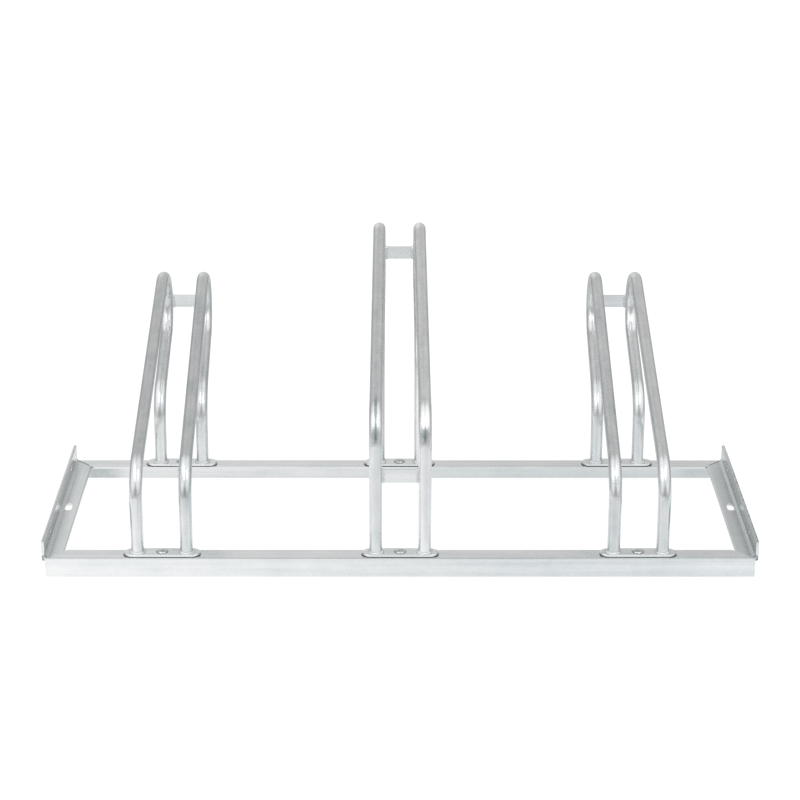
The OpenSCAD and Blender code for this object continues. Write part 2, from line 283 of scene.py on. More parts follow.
def turned_shell(grid):
    """Points and outward faces of a grid whose columns run round an axis. The first and the
    last row shrink to nothing on the axis, so each is closed by a fan about its own middle."""
    rows, columns = grid.shape[:2]
    poles = np.stack([grid[0].mean(0), grid[-1].mean(0)])
    points = np.concatenate([grid.reshape(-1, 3), poles])
    quads = grid_faces(rows, columns, False, True)
    around = np.arange(columns)
    after = (around + 1) % columns
    last = (rows - 1) * columns
    bottom = np.stack([np.full(columns, rows * columns), after, around], axis=-1)
    top = np.stack([np.full(columns, rows * columns + 1), last + around, last + after], axis=-1)
    triangles = np.concatenate([bottom, top])
    fans = np.concatenate([triangles, triangles[:, 2:]], axis=1)
    if enclosed_volume(points, np.concatenate([quads, fans])) < 0:
        quads, triangles = quads[:, ::-1], triangles[:, ::-1]
    return points, quads.tolist() + triangles.tolist()


def joined(shells):
    """Points and faces of several shells as one set."""
    points, faces, start = [], [], 0
    for shell_points, shell_faces in shells:
        points.append(shell_points)
        faces.extend([corner + start for corner in face] for face in shell_faces)
        start += len(shell_points)
    return np.concatenate(points), faces


def add_piece(name, shell, slot, material, crease=CREASE, **attributes):
    """Makes a named object of a shell's points and faces, smooth where its faces meet at less than
    the crease, with vector attributes on its points. It rides on the rack's one body."""
    points, faces = shell
    mesh = bpy.data.meshes.new(name)
    mesh.from_pydata(points.tolist(), [], faces)
    mesh.polygons.foreach_set("use_smooth", np.ones(len(mesh.polygons), bool))
    mesh.set_sharp_from_angle(angle=crease)
    for label, values in attributes.items():
        layer = mesh.attributes.new(label, "FLOAT_VECTOR", "POINT")
        layer.data.foreach_set("vector", np.asarray(values, np.float32).ravel())
    mesh.update()
    piece = bpy.data.objects.new(name, mesh)
    bpy.context.scene.collection.objects.link(piece)
    mesh.materials.append(material)
    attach(piece, "root")
    return piece


def once_round(count):
    """Angles at an even pace round a circle."""
    return np.linspace(0, 2 * math.pi, count, endpoint=False)


def waver(around, seed, waves=5):
    """A smooth closed wobble between about -1 and 1: a sum of sine waves of whole counts round
    the circle, each with its own seeded phase and falling strength."""
    random = np.random.default_rng(seed)
    counts = np.arange(1, waves + 1)
    phases = random.uniform(0, 2 * math.pi, waves)
    strengths = random.uniform(0.5, 1, waves) / np.sqrt(counts)
    total = np.sin(np.asarray(around)[..., None] * counts + phases) @ strengths
    # The waves seldom peak together, so their sum is stretched
    return total / strengths.sum() * 1.6


def smooth_step(values, low=0, high=1):
    """0 below low, 1 above high, and 3 v^2 - 2 v^3 between, with v the share of the way."""
    v = np.clip((values - low) / (high - low), 0, 1)
    return v * v * (3 - 2 * v)


def squared_circle(heading, power):
    """Radius at a heading of the rounded square |x|^p + |y|^p = 1."""
    return (np.abs(np.cos(heading)) ** power + np.abs(np.sin(heading)) ** power) ** (-1 / power)


def outline_of_slot(half_run, radius, count):
    """A slot-shaped outline and its outward normals, as two arrays of count points: two straight
    runs of twice half_run, joined by half circles, walked at an even pace."""
    half_circle = math.pi * radius
    total = 4 * half_run + 2 * half_circle
    walked = (np.arange(count) + 0.5) / count * total
    turn = np.where(walked < total / 2, walked, walked - total / 2)
    angle = np.clip((turn - half_run) / radius, 0, math.pi)
    back = 2 * half_run + half_circle - turn
    run = np.minimum(np.minimum(turn, half_run), back)
    normal = np.stack([np.sin(angle), -np.cos(angle)], axis=-1)
    points = np.stack([run, np.zeros(count)], axis=-1) + radius * normal
    side = np.where(walked < total / 2, 1.0, -1.0)[:, None]
    return points * side, normal * side


# Places that come from the packed solids


def box(node):
    """Lowest and highest corner of a packed node, as two arrays."""
    low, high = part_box(node)
    return np.array(low), np.array(high)


def middle(node):
    """Middle of a packed node's box."""
    low, high = box(node)
    return (low + high) / 2


def foot_place(holder, end):
    """Middle of a foot plate's underside, its length and its width."""
    low, high = box(f"{holder}_holder_{end}_foot")
    centre = (low + high) / 2
    return np.array([centre[0], centre[1], low[2]]), high[0] - low[0], high[1] - low[1]


def plate_thickness():
    """Thickness of a foot plate: the bolts' domed heads lie on it, at the top of the plate."""
    sizes = bpy.context.scene.rack_bolts
    rail_top = box("front_rail")[1][2]
    return box("mushroom_bolts")[1][2] - sizes.head_height - rail_top


# The run of a hoop


def straight_run(start, end, step):
    """Points at an even pace from start to end, and their heading over the level."""
    count = max(2, int(np.ceil(np.linalg.norm(end - start) / step)) + 1)
    t = np.linspace(0, 1, count)[:, None]
    heading = math.atan2(end[1] - start[1], end[0] - start[0])
    return start + (end - start) * t, np.full(count, heading)


def bent_run(centre, radius, first, last, step):
    """Points on an arc from one angle to another, and their heading, square to the radius."""
    count = max(3, int(np.ceil(abs(last - first) * radius / step)) + 1)
    angle = np.linspace(first, last, count)
    points = centre + radius * np.stack([np.cos(angle), np.sin(angle)], axis=-1)
    return points, angle + math.copysign(math.pi / 2, last - first)


def on_circle(centre, radius, angle):
    """Point on a circle at an angle over the level."""
    return centre + radius * np.array([math.cos(angle), math.sin(angle)])


def leg_bend_centre(leg, angle, point, radius):
    """Centre of the bend over a leg, so that it ends tangent to a straight tube that rises at
    the angle and runs through the point."""
    run = point[0] - leg - radius * (1 - math.sin(angle))
    return np.array([leg + radius, point[1] - run * math.tan(angle) - radius * math.cos(angle)])


def hoop_shape(holder, side):
    """Where a hoop stands and the circles that it is bent round, in its own upright plane. The
    plane starts at the middle of the front leg and leans towards the other hoop at the back."""
    sizes = bpy.context.scene.rack_hoops
    sign = SIDES[side]
    front, _, _ = foot_place(holder, "front")
    rear, _, _ = foot_place(holder, "rear")
    front_face = box("front_rail")[0][1]
    leg_distance = rear[1] - front[1]
    lean = math.atan((sizes.front_spacing - sizes.rear_spacing) / 2 / leg_distance)
    radius = sizes.tube_diameter / 2
    top = box(f"{holder}_holder_{side}_hoop")[1][2]
    nose = np.array([(front_face + sizes.reach - radius - front[1]) / math.cos(lean)
                     - sizes.nose_radius, top - radius - sizes.nose_radius])
    return {
        "origin": np.array([front[0] + sign * sizes.front_spacing / 2, front[1]]),
        "along": np.array([-sign * math.sin(lean), math.cos(lean)]),
        "across": np.array([math.cos(lean), sign * math.sin(lean)]),
        "leg_span": leg_distance / math.cos(lean),
        "foot_top": front[2] + plate_thickness(),
        "nose": nose,
    }


def hoop_line(shape):
    """The middle line of a hoop in its plane: up the front leg, up the slope, over the nose and
    down to the rear leg. Returns points, headings, length walked and how bent each place is."""
    sizes = bpy.context.scene.rack_hoops
    nose, leg_span, foot_top, step = shape["nose"], shape["leg_span"], shape["foot_top"], sizes.step
    leg_bend, nose_bend = sizes.leg_bend_radius, sizes.nose_radius
    over_front = math.pi / 2 + sizes.slope_angle
    over_rear = math.pi / 2 + sizes.return_angle
    under_nose = sizes.return_angle - math.pi / 2
    slope_end = on_circle(nose, nose_bend, over_front)
    return_end = on_circle(nose, nose_bend, under_nose)
    front = leg_bend_centre(0, sizes.slope_angle, slope_end, leg_bend)
    rear = leg_bend_centre(leg_span, sizes.return_angle, return_end, leg_bend)
    runs = [
        straight_run(np.array([0, foot_top]), np.array([0, front[1]]), step),
        bent_run(front, leg_bend, math.pi, over_front, step),
        straight_run(on_circle(front, leg_bend, over_front), slope_end, step),
        bent_run(nose, nose_bend, over_front, under_nose, step),
        straight_run(return_end, on_circle(rear, leg_bend, over_rear), step),
        bent_run(rear, leg_bend, over_rear, math.pi, step),
        straight_run(np.array([leg_span, rear[1]]), np.array([leg_span, foot_top]), step),
    ]
    parts = [(places[:-1], headings[:-1]) for places, headings in runs[:-1]] + runs[-1:]
    points = np.concatenate([places for places, _ in parts])
    heading = np.unwrap(np.concatenate([headings for _, headings in parts]))
    ends = np.cumsum([len(places) for places, _ in parts])
    walked = np.concatenate([[0], np.cumsum(np.linalg.norm(np.diff(points, axis=0), axis=1))])
    bent = np.zeros(len(points))
    for first, last in zip(ends[0::2], ends[1::2]):
        into = (walked - walked[first]) / sizes.bend_ramp + 0.5
        out = (walked[last] - walked) / sizes.bend_ramp + 0.5
        bent = np.maximum(bent, smooth_step(into) * smooth_step(out))
    return points, heading, walked, bent


def hoop_grid(shape, seed, tone, reflection_shade):
    """Surface of one hoop of open tube. At walked length s and angle a round the tube, a point is
    the middle line plus r (1 - f b) cos a along the bend's own normal plus r (1 + f b / 2) sin a
    across the plane, with f the flattening and b how bent the place is. The rings run out along
    the outside and come back along the bore, so the surface closes both ways.

    Its attributes are the place on the straightened tube, the marks (how bent, how far to the
    outer line, the hoop's own tone) and the dark reflections painted into the front bend."""
    sizes = bpy.context.scene.rack_hoops
    line = hoop_line(shape)
    count = len(line[0])
    there_and_back = np.concatenate([np.arange(count), np.arange(count)[::-1]])
    points, heading, walked, bent = (values[there_and_back] for values in line)
    outside = sizes.tube_diameter / 2
    radius = np.repeat([outside, outside - sizes.tube_wall], count)[:, None]
    angle = once_round(sizes.sides)[None, :]
    bend_start = walked[np.argmax(bent > 0.5)]
    normal = np.stack([-np.sin(heading), np.cos(heading)], axis=-1)
    flat = sizes.bend_flattening * bent[:, None]
    in_plane = radius * (1 - flat) * np.cos(angle)
    across = radius * (1 + flat / 2) * np.sin(angle)
    plane = points[:, None, :] + in_plane[..., None] * normal[:, None, :]
    level = shape["origin"] + plane[..., :1] * shape["along"] + across[..., None] * shape["across"]
    grid = np.concatenate([level, plane[..., 1:]], axis=-1)
    walked, bend, facing, tone = (np.broadcast_to(values, in_plane.shape) for values in
                                  (walked[:, None], bent[:, None], np.cos(angle), tone))
    return grid, {
        "straightened": np.stack([radius * np.cos(angle), radius * np.sin(angle),
                                  walked + seed * TUBES_APART], axis=-1),
        "marks": np.stack([bend, facing, tone], axis=-1),
        "scars": paint_bend_reflections(walked - bend_start, facing, reflection_shade),
    }


def paint_bend_reflections(into_bend, facing, reflection_shade):
    """How dark the front leg's bend is painted, as a reflection, at a length walked into the bend
    and with the cosine of the angle round the tube from its outer line: a round patch, exp(-d^2)
    at d patch lengths from its middle, and a line from there over the bend."""
    sizes = bpy.context.scene.rack_hoops
    place, patch_strength, line_strength = reflection_shade
    past = (into_bend - place) / sizes.shade_patch_length
    left = (sizes.shade_line_end - into_bend) / (3 * sizes.shade_patch_length)
    # Painted dark reflection: a round patch and a line running on from it
    patch = np.exp(-past ** 2) * smooth_step(facing, *PATCH_EDGES)
    line = smooth_step(past) * smooth_step(left) * smooth_step(facing, *LINE_EDGES)
    return np.stack([patch * patch_strength, line * line_strength, np.zeros(patch.shape)], axis=-1)


# Feet, beads and bolts


def foot_grid(centre, foot_length, foot_width, seed):
    """Surface of one foot plate. Its rows run from the hole over the top face, round the upper
    edge, down the side and back below to the hole; along a row, a point lies between the rounded
    square of the hole, |x|^p + |y|^p = w^p, and the slot-shaped outline, at the same heading."""
    sizes = bpy.context.scene.rack_feet
    thickness = plate_thickness()
    radius = foot_width / 2
    outline, normal = outline_of_slot(foot_length / 2 - radius, radius, sizes.outline_points)
    heading = np.arctan2(outline[:, 1], outline[:, 0])
    outline = outline - normal * (1 + waver(heading, seed, 9))[:, None] * sizes.waviness / 2
    hole_radius = sizes.hole_width / 2 * squared_circle(heading, HOLE_SQUARENESS)
    hole = np.stack([np.cos(heading), np.sin(heading)], axis=-1) * hole_radius[:, None]
    quarter = np.linspace(0, math.pi / 2, sizes.edge_rows)
    upper, lower = sizes.edge_radius, sizes.lower_edge
    # Each row's share of the way from the hole to the outline, its inset there and its height
    rows = [(0, 0, 0), (0, 0, thickness)]
    rows += [(t, upper, thickness) for t in (0.15, 0.4, 0.7, 0.9)]
    rows += [(1, upper * (1 - math.sin(q)), thickness - upper * (1 - math.cos(q))) for q in quarter]
    rows += [(1, lower * (1 - math.cos(q)), lower * (1 - math.sin(q))) for q in quarter]
    rows += [(0.5, lower, 0)]
    reach, inset, height = (np.array(column)[:, None] for column in zip(*rows))
    edge = outline[None] - inset[..., None] * normal[None]
    level = hole[None] * (1 - reach[..., None]) + edge * reach[..., None]
    height = np.broadcast_to(height[..., None], level.shape[:2] + (1,))
    return centre + np.concatenate([level, height], axis=-1)


def bead_profile(across, out, along, buried):
    """A bead's section as a closed curve about its root: an ellipse with half axes out and along
    where it shows, cut back to the buried depth on the sides that lie in the steel."""
    c, s = np.cos(across), np.sin(across)
    return np.where(c > 0, out * c, buried * c), np.where(s > 0, along * s, buried * s)


def creases(walk, across, ripples, bow, drift, seed):
    """How much of a bead's section its overlapping ripples take away: nothing on a ripple's back
    and the whole depth in the crease between two, 1 - |cos(p / 2)| at phase p. The ripples bow
    across the bead and their pitch drifts along it."""
    depth = bpy.context.scene.rack_welds.ripple_depth
    phase = ripples * walk + bow * np.sin(across) + drift * waver(walk, seed)
    return depth * (1 - np.abs(np.cos(phase / 2)))


def leg_bead_grid(centre, radius, seed):
    """Weld bead round a leg. At heading h and angle a round the bead, a point is the foot of the
    tube plus the bead's section, whose leg changes with h and with its ripples."""
    sizes = bpy.context.scene.rack_welds
    heading = once_round(sizes.points)[:, None]
    across = once_round(sizes.section_points)[None, :]
    wobble = waver(heading, seed)
    leg = sizes.leg * (1 + sizes.unevenness * wobble
                       - creases(heading, across, sizes.ripples, bow=1.5, drift=2.4,
                                 seed=seed + 50))
    out, up = bead_profile(across, leg, leg * (1 + sizes.unevenness / 2 * wobble), sizes.root)
    reach = radius + out
    return centre + np.stack([reach * np.cos(heading), reach * np.sin(heading), up], axis=-1)


def strap_bead_grid(strap, side, hoop_gap, seed):
    """Weld bead round the end of a strap, against the tube. The bead follows the strap's outline
    in Y and Z; in X it lies where the tube's surface is, at x = sqrt(r^2 - d^2) from the tube's
    middle line, with d the distance from that line to the outline's point."""
    sizes = bpy.context.scene.rack_welds
    low, high = box(strap)
    centre = (low + high) / 2
    half_thickness, half_height = (high[1] - low[1]) / 2, (high[2] - low[2]) / 2
    # A hair inside the strap's faces
    corner = half_thickness * 0.999
    outline, normal = outline_of_slot(half_height - corner, corner, sizes.strap_points)
    z, y = outline[:, :1], outline[:, 1:]
    normal_z, normal_y = normal[:, :1], normal[:, 1:]
    radius = bpy.context.scene.rack_hoops.tube_diameter / 2
    surface = np.sqrt(np.maximum(radius ** 2 - hoop_gap(y, z) ** 2, 0))
    root = centre[0] + side * (bead_spacing(strap) / 2 - surface)
    across = once_round(sizes.strap_section_points)[None, :]
    walk = once_round(sizes.strap_points)[:, None]
    size = (1 + sizes.strap_unevenness * waver(walk, seed, 7)
            - creases(walk, across, sizes.strap_ripples, bow=1.2, drift=2, seed=seed + 30))
    stand, flare = bead_profile(across, sizes.strap_stand * size, sizes.strap_flare * size,
                                sizes.strap_root)
    return np.stack([root - side * flare, centre[1] + y + stand * normal_y,
                     centre[2] + z + stand * normal_z], axis=-1)


def bead_spacing(strap):
    """Distance between the two tubes that a strap joins, middle to middle."""
    sizes = bpy.context.scene.rack_hoops
    front = foot_place("centre", "front")[0][1]
    rear = foot_place("centre", "rear")[0][1]
    back = middle(strap)[1] - front
    return sizes.front_spacing - (sizes.front_spacing - sizes.rear_spacing) * back / (rear - front)


def thread_wave(turns):
    """Height of a thread's side against the turns walked: 1 on the crest, 0 in the root. It is a
    triangle wave, cut off above and below, which leaves the crest and the root flat."""
    return np.clip(2.6 * np.abs((turns % 1) * 2 - 1) - 0.6, 0, 1)


def bolt_grid(centre, seed):
    """Surface of a bolt with its middle line upright. Rows run from the tip over the thread and
    the neck to the top of the head. At height z and heading h its radius is the row's own, times
    1 / (|cos h|^p + |sin h|^p)^(1/p) on the square neck, less the thread's depth on the shank."""
    sizes = bpy.context.scene.rack_bolts
    plate, edge, rim = plate_thickness(), sizes.rim_edge, sizes.rim_height
    low, high = box("mushroom_bolts")
    tip = low[2] - (high[2] - sizes.head_height)
    head, shank, neck = sizes.head_diameter / 2, sizes.shank_diameter / 2, sizes.neck_width / 2
    dome = sizes.head_height - rim
    dome_radius = (head ** 2 + dome ** 2) / (2 * dome)
    dome_centre = sizes.head_height - dome_radius
    thread = np.linspace(tip + sizes.tip_chamfer, -plate - sizes.thread_runout, sizes.thread_rows)
    from_axis = math.asin(head / dome_radius) * (1 - np.linspace(0, 1, sizes.dome_rows + 1)[1:])
    # Each row's height, its radius, and how square and how threaded it is
    rows = [(tip, ON_AXIS, 0, 0), (tip, shank - sizes.tip_chamfer, 0, 0)]
    rows += [(z, shank, 0, 1) for z in thread]
    rows += [(-plate - sizes.thread_runout / 2, shank, 0, 0), (-plate, shank, 0, 0),
             (-plate, neck, 1, 0), (0, neck, 1, 0), (0, head - edge, 0, 0), (edge, head, 0, 0),
             (rim - edge, head, 0, 0), (rim - edge / 3, head - edge * 2 / 3, 0, 0)]
    rows += [(dome_centre + dome_radius * math.cos(a), max(dome_radius * math.sin(a), ON_AXIS),
              0, 0) for a in from_axis]
    height, radius, square, threaded = (np.array(column)[:, None] for column in zip(*rows))
    heading = once_round(sizes.points_round)[None, :]
    turns = height / sizes.thread_pitch - heading / (2 * math.pi)
    reach = (radius * (1 + square * (squared_circle(heading, NECK_SQUARENESS) - 1))
             - threaded * sizes.thread_depth * (1 - thread_wave(turns)))
    around = heading * 2 + seed + height * DENT_TURN
    dents = np.where(height > 0, sizes.dents * waver(around, seed, 6), 0)
    return centre + np.stack([reach * np.cos(heading), reach * np.sin(heading),
                              np.broadcast_to(height, reach.shape) - np.abs(dents)], axis=-1)


# Finishes

# In the masks, a step on a distance goes in metres from where a mark begins to where it is full,
# and the factors after it say how strong the mark is. A noise's scale is how often it repeats in
# a metre.

# Streaks along each axis, as how often they repeat in a metre along X, Y and Z
ALONG_X = (7.0, 240.0, 240.0)
ALONG_Y = (240.0, 7.0, 240.0)
ALONG_Z = (330.0, 330.0, 9.0)
# The coat's middling tone, and what each pattern adds to its tone, its roughness and its height
COAT_TONE = 0.62
COAT = {"clouds": (0.50, 0, 1.1), "patches": (0.28, 0.14, 0.28), "streaks": (0.42, 0.08, 0.05),
        "crystals": (0.07, 0.04, 0.012), "grain": (0.06, 0, 0)}
# How deep the bumps of the bars and of the tubes are, and how strongly they show
BUMP_DEPTH = 0.0006
BAR_BUMP = 0.35
TUBE_BUMP = 0.30


class Wire:
    """The output of a node. Plain arithmetic on it adds the Math nodes that work it out."""

    def __init__(self, recipe, socket):
        self.recipe = recipe
        self.socket = socket

    def math(self, operation, *values, clamp=False):
        """Adds a Math node for an operation on this value and the others."""
        return self.recipe.add("ShaderNodeMath", {"operation": operation, "use_clamp": clamp},
                               dict(enumerate((self,) + values)))

    def __add__(self, other):
        return self.math("ADD", other)

    __radd__ = __add__

    def __mul__(self, other):
        return self.math("MULTIPLY", other)

    __rmul__ = __mul__

    def __sub__(self, other):
        return self.math("SUBTRACT", other)

    def __rsub__(self, other):
        return self * -1 + other

    def __truediv__(self, other):
        return self.math("DIVIDE", other)

    def __abs__(self):
        return self.math("ABSOLUTE")

    def clamped(self):
        """Held between 0 and 1."""
        return self.math("ADD", 0.0, clamp=True)

    def most(self, other):
        """The larger of two values."""
        return self.math("MAXIMUM", other)

    def rounded(self):
        """The nearest whole number."""
        return self.math("ROUND")

    def step(self, low, high):
        """Goes smoothly from 0 at low to 1 at high. Low may be the larger."""
        return self.recipe.add("ShaderNodeMapRange", {"interpolation_type": "SMOOTHSTEP"},
                               {"Value": self, "From Min": low, "From Max": high})


def distance(first, second):
    """The root of the sum of two squares."""
    return (first * first + second * second).math("SQRT")


class Recipe:
    """The nodes of one material or of the world."""

    def __init__(self, owner):
        owner.use_nodes = True
        self.owner = owner
        self.tree = owner.node_tree
        self.tree.nodes.clear()

    def add(self, kind, settings=None, sockets=None, output=0):
        """Adds a node of a type, with its settings first and then the values or links of its
        sockets, and returns one of its outputs."""
        node = self.tree.nodes.new(kind)
        for name, value in (settings or {}).items():
            setattr(node, name, value)
        for name, value in (sockets or {}).items():
            place = self.find(node.inputs, name)
            if isinstance(value, Wire):
                self.tree.links.new(value.socket, place)
            else:
                place.default_value = value
        return Wire(self, self.find(node.outputs, output)) if len(node.outputs) else node

    @staticmethod
    def find(sockets, name):
        """A socket by its number, its identifier or its name."""
        if isinstance(name, int):
            return sockets[name]
        return next((s for s in sockets if s.identifier == name), None) or sockets[name]

    def place(self):
        """Where a point of the piece is, in metres in the rack's frame."""
        return self.add("ShaderNodeTexCoord", output="Object")

    def attribute(self, name):
        """A vector that the piece's own points carry."""
        return self.add("ShaderNodeAttribute", {"attribute_name": name}, output="Vector")

    def parts(self, vector):
        """The three numbers of a vector."""
        node = self.add("ShaderNodeSeparateXYZ", None, {"Vector": vector}).socket.node
        return [Wire(self, socket) for socket in node.outputs]

    def stretched(self, vector, scale):
        """A vector, each number times its own scale."""
        return self.add("ShaderNodeVectorMath", {"operation": "MULTIPLY"}, {0: vector, 1: scale})

    def moved(self, vector, other, amount):
        """A vector plus another times an amount."""
        return self.add("ShaderNodeVectorMath", {"operation": "MULTIPLY_ADD"},
                        {0: other, 1: (amount,) * 3, 2: vector})

    def noise(self, vector, scale, detail, roughness=0.55):
        """Cloudy noise between 0 and 1, about 0.5 on average."""
        sockets = {"Vector": vector, "Scale": scale, "Detail": detail, "Roughness": roughness}
        return self.add("ShaderNodeTexNoise", None, sockets, "Fac")

    def streaks(self, vector, scales, detail=2, roughness=0.55):
        """Noise that repeats at a scale of its own along each axis."""
        return self.noise(self.stretched(vector, scales), 1.0, detail, roughness)

    def cells(self, vector, scale, output):
        """Cells about scattered points: a random colour for each, or the distance to its point."""
        return self.add("ShaderNodeTexVoronoi", None, {"Vector": vector, "Scale": scale}, output)

    def blend(self, amount, first, second):
        """Mixes two colours."""
        return self.add("ShaderNodeMix", {"data_type": "RGBA"},
                        {"Factor_Float": amount, "A_Color": first, "B_Color": second},
                        "Result_Color")

    def bump(self, height, strength, depth):
        """A normal that follows a height, where a height of 1 is as deep as depth, in metres."""
        return self.add("ShaderNodeBump", None,
                        {"Height": height, "Strength": strength, "Distance": depth}, "Normal")

    def metal(self, colour_of, roughness, normal):
        """A metal's shader, as the material's surface."""
        shader = self.add("ShaderNodeBsdfPrincipled", None,
                          {"Base Color": colour_of, "Roughness": roughness, "Metallic": 1.0,
                           "Normal": normal}, "BSDF")
        self.add("ShaderNodeOutputMaterial", None, {"Surface": shader})
        return self.owner


def solid(rgb):
    """A colour property as the four numbers of a colour socket."""
    return (*rgb, 1.0)


def zinc_coat(recipe, place, stretch):
    """Tone, roughness and height of a galvanised coat. Stretch holds the three scales that turn
    the place into fine streaks, the way the bar was rolled or the tube was drawn."""
    finish = bpy.context.scene.rack_steel
    crystal_scale = 1 / finish.crystal_size
    jitter = recipe.add("ShaderNodeTexNoise", None,
                        {"Vector": place, "Scale": crystal_scale, "Detail": 1.0}, "Color")
    warped = recipe.moved(place, jitter, finish.crystal_size * 0.8)
    patterns = {
        "clouds": recipe.noise(place, 1 / finish.cloud_size, 2),
        "patches": recipe.noise(place, 1 / finish.patch_size, 2),
        "streaks": recipe.streaks(place, stretch),
        "crystals": recipe.parts(recipe.cells(warped, crystal_scale, "Color"))[0],
        "grain": recipe.noise(place, 1 / finish.grain_size, 2, 0.7),
    }
    tone, roughness, height = COAT_TONE, finish.roughness, 0.0
    for name, pattern in patterns.items():
        for_tone, for_roughness, for_height = COAT[name]
        tone = tone + (pattern - 0.5) * for_tone
        if for_roughness:
            roughness = roughness + (pattern - 0.5) * for_roughness
        if for_height:
            height = height + pattern * for_height
    return tone.clamped(), roughness.clamped(), height


def bar_finish(name, stretch, dirt_and_shadow_mask=None, dull=None, painted_lift=0.0):
    """Galvanised bar or plate, with streaks and broader bands along the way that it was rolled.
    Two masks, functions that take the recipe and the place and give a share from 0 to 1, darken
    the zinc: the first with settled dirt and painted shadow, the second with dulled zinc and
    painted shade. The last argument makes the zinc lighter in colour, as painted light."""
    finish = bpy.context.scene.rack_steel
    recipe = Recipe(bpy.data.materials.new(name))
    place = recipe.place()
    tone, roughness, height = zinc_coat(recipe, place, stretch)
    bands = recipe.streaks(place, [scale * 0.45 for scale in stretch])
    # Painted light: the last argument lightens the zinc's colour
    tone = (tone + painted_lift + (bands - 0.5) * 0.75).clamped()
    zinc = recipe.blend(tone, solid(finish.dark_zinc), solid(finish.light_zinc))
    # The dull mask also holds painted shade, in the dull zinc's colour
    if dull:
        zinc = recipe.blend(dull(recipe, place), zinc, solid(finish.dull_and_shaded_zinc))
    # Dirt and painted shadow, in one dark colour
    if dirt_and_shadow_mask:
        dirt = dirt_and_shadow_mask(recipe, place)
        zinc = recipe.blend(dirt, zinc, solid(finish.dark_grime_and_shade))
        roughness = (roughness + dirt * 0.25).clamped()
        height = height - dirt * 0.5
    return recipe.metal(zinc, roughness, recipe.bump(height, BAR_BUMP, BUMP_DEPTH))


def ragged(recipe, place, off_seam, width):
    """1 on a seam and 0 beyond its width, with a broken edge."""
    broken = recipe.noise(place, 420.0, 3, 0.7)
    return (off_seam / width + (broken - 0.5) * 1.3).step(1.0, 0.25)


def on_left(x):
    """1 on the rack's left and 0 on its right."""
    return x.step(0.1, -0.1)


def from_nearest_bolt(x, y):
    """How far a place lies, along X and along Y, from the middle line of the nearest bolt. The
    bolts repeat along X and mirror in Y."""
    front, _, _ = foot_place("centre", "front")
    rear, _, _ = foot_place("centre", "rear")
    pitch = foot_place("right", "front")[0][0] - front[0]
    from_middle = y - (front[1] + rear[1]) / 2
    past_bolt = abs(from_middle) - (rear[1] - front[1]) / 2
    return x - (x / pitch).rounded() * pitch, past_bolt * from_middle.math("SIGN")


def foot_dirt_and_shadow(recipe, place):
    """Dirt and painted contact shadow in the crevice round every foot plate on a rail's top, by the
    distance to the plate's slot shape. It lies widest before the round ends."""
    x, y, z = recipe.parts(place)
    _, foot_length, foot_width = foot_place("centre", "front")
    aside, behind = from_nearest_bolt(x, y)
    past_run = (abs(aside) - (foot_length - foot_width) / 2).most(0.0)
    out = distance(past_run, behind) - foot_width / 2
    on_top = (z - box("front_rail")[1][2]).step(-0.002, -0.0005)
    width = past_run.step(0.003, 0.012) * behind.step(0.002, -0.008) * 0.0020 + 0.0016
    # Painted contact shadow, with dirt, round the plate
    return ragged(recipe, place, abs(out + 0.0003), width) * on_top * 0.85


def mitre_dirt_and_shade(recipe, place):
    """Dirt, and painted shade of the open joint, in the mitred seam where a rail meets an end bar,
    on the two corners at the back.
    The seam runs at 45 degrees from the end bar's inner face."""
    x, y, z = recipe.parts(place)
    high = box("rear_rail")[1]
    from_end = high[0] - abs(x)
    # Painted shade of the open joint, with dirt, along the seam
    near = ragged(recipe, place, abs(from_end - (high[1] - y)), 0.0030)
    reach = from_end.step(0.0245, 0.0210) * (z - high[2] + 0.004).step(0.0, 0.001)
    return near * reach * (y - middle("rear_rail")[1] + 0.03).step(0.0, 0.004) * 0.70


def rail_dirt_and_shadows(recipe, place):
    """Dirt and painted shadow round the feet and in the mitres at the back."""
    return foot_dirt_and_shadow(recipe, place).most(mitre_dirt_and_shade(recipe, place))


def rail_wear_and_darkening(recipe, place):
    """Zinc worn thin along a rail's outer corner, and darker inside the rear rail near its ends,
    more so on the left."""
    x, y, z = recipe.parts(place)
    low, high = box("front_rail")
    rear_face = box("rear_rail")[1][1]
    wall = box("right_end_bar")[1][0] - high[0]
    outwards = abs(y - (low[1] + rear_face) / 2) - (rear_face - low[1]) / 2
    upwards = z - high[2]
    corner = distance(outwards, upwards).step(0.0022, 0.0008)
    inside = ((y - rear_face + wall).step(-0.0020, -0.0005) * (upwards + wall).step(0.0005, -0.0010)
              * (abs(x) - high[0]).step(-0.085, -0.045))
    cloudy = recipe.noise(place, 70.0, 2) + 0.4
    return (corner * 0.55).most(inside * (on_left(x) * 0.35 + 0.30) * cloudy).clamped()


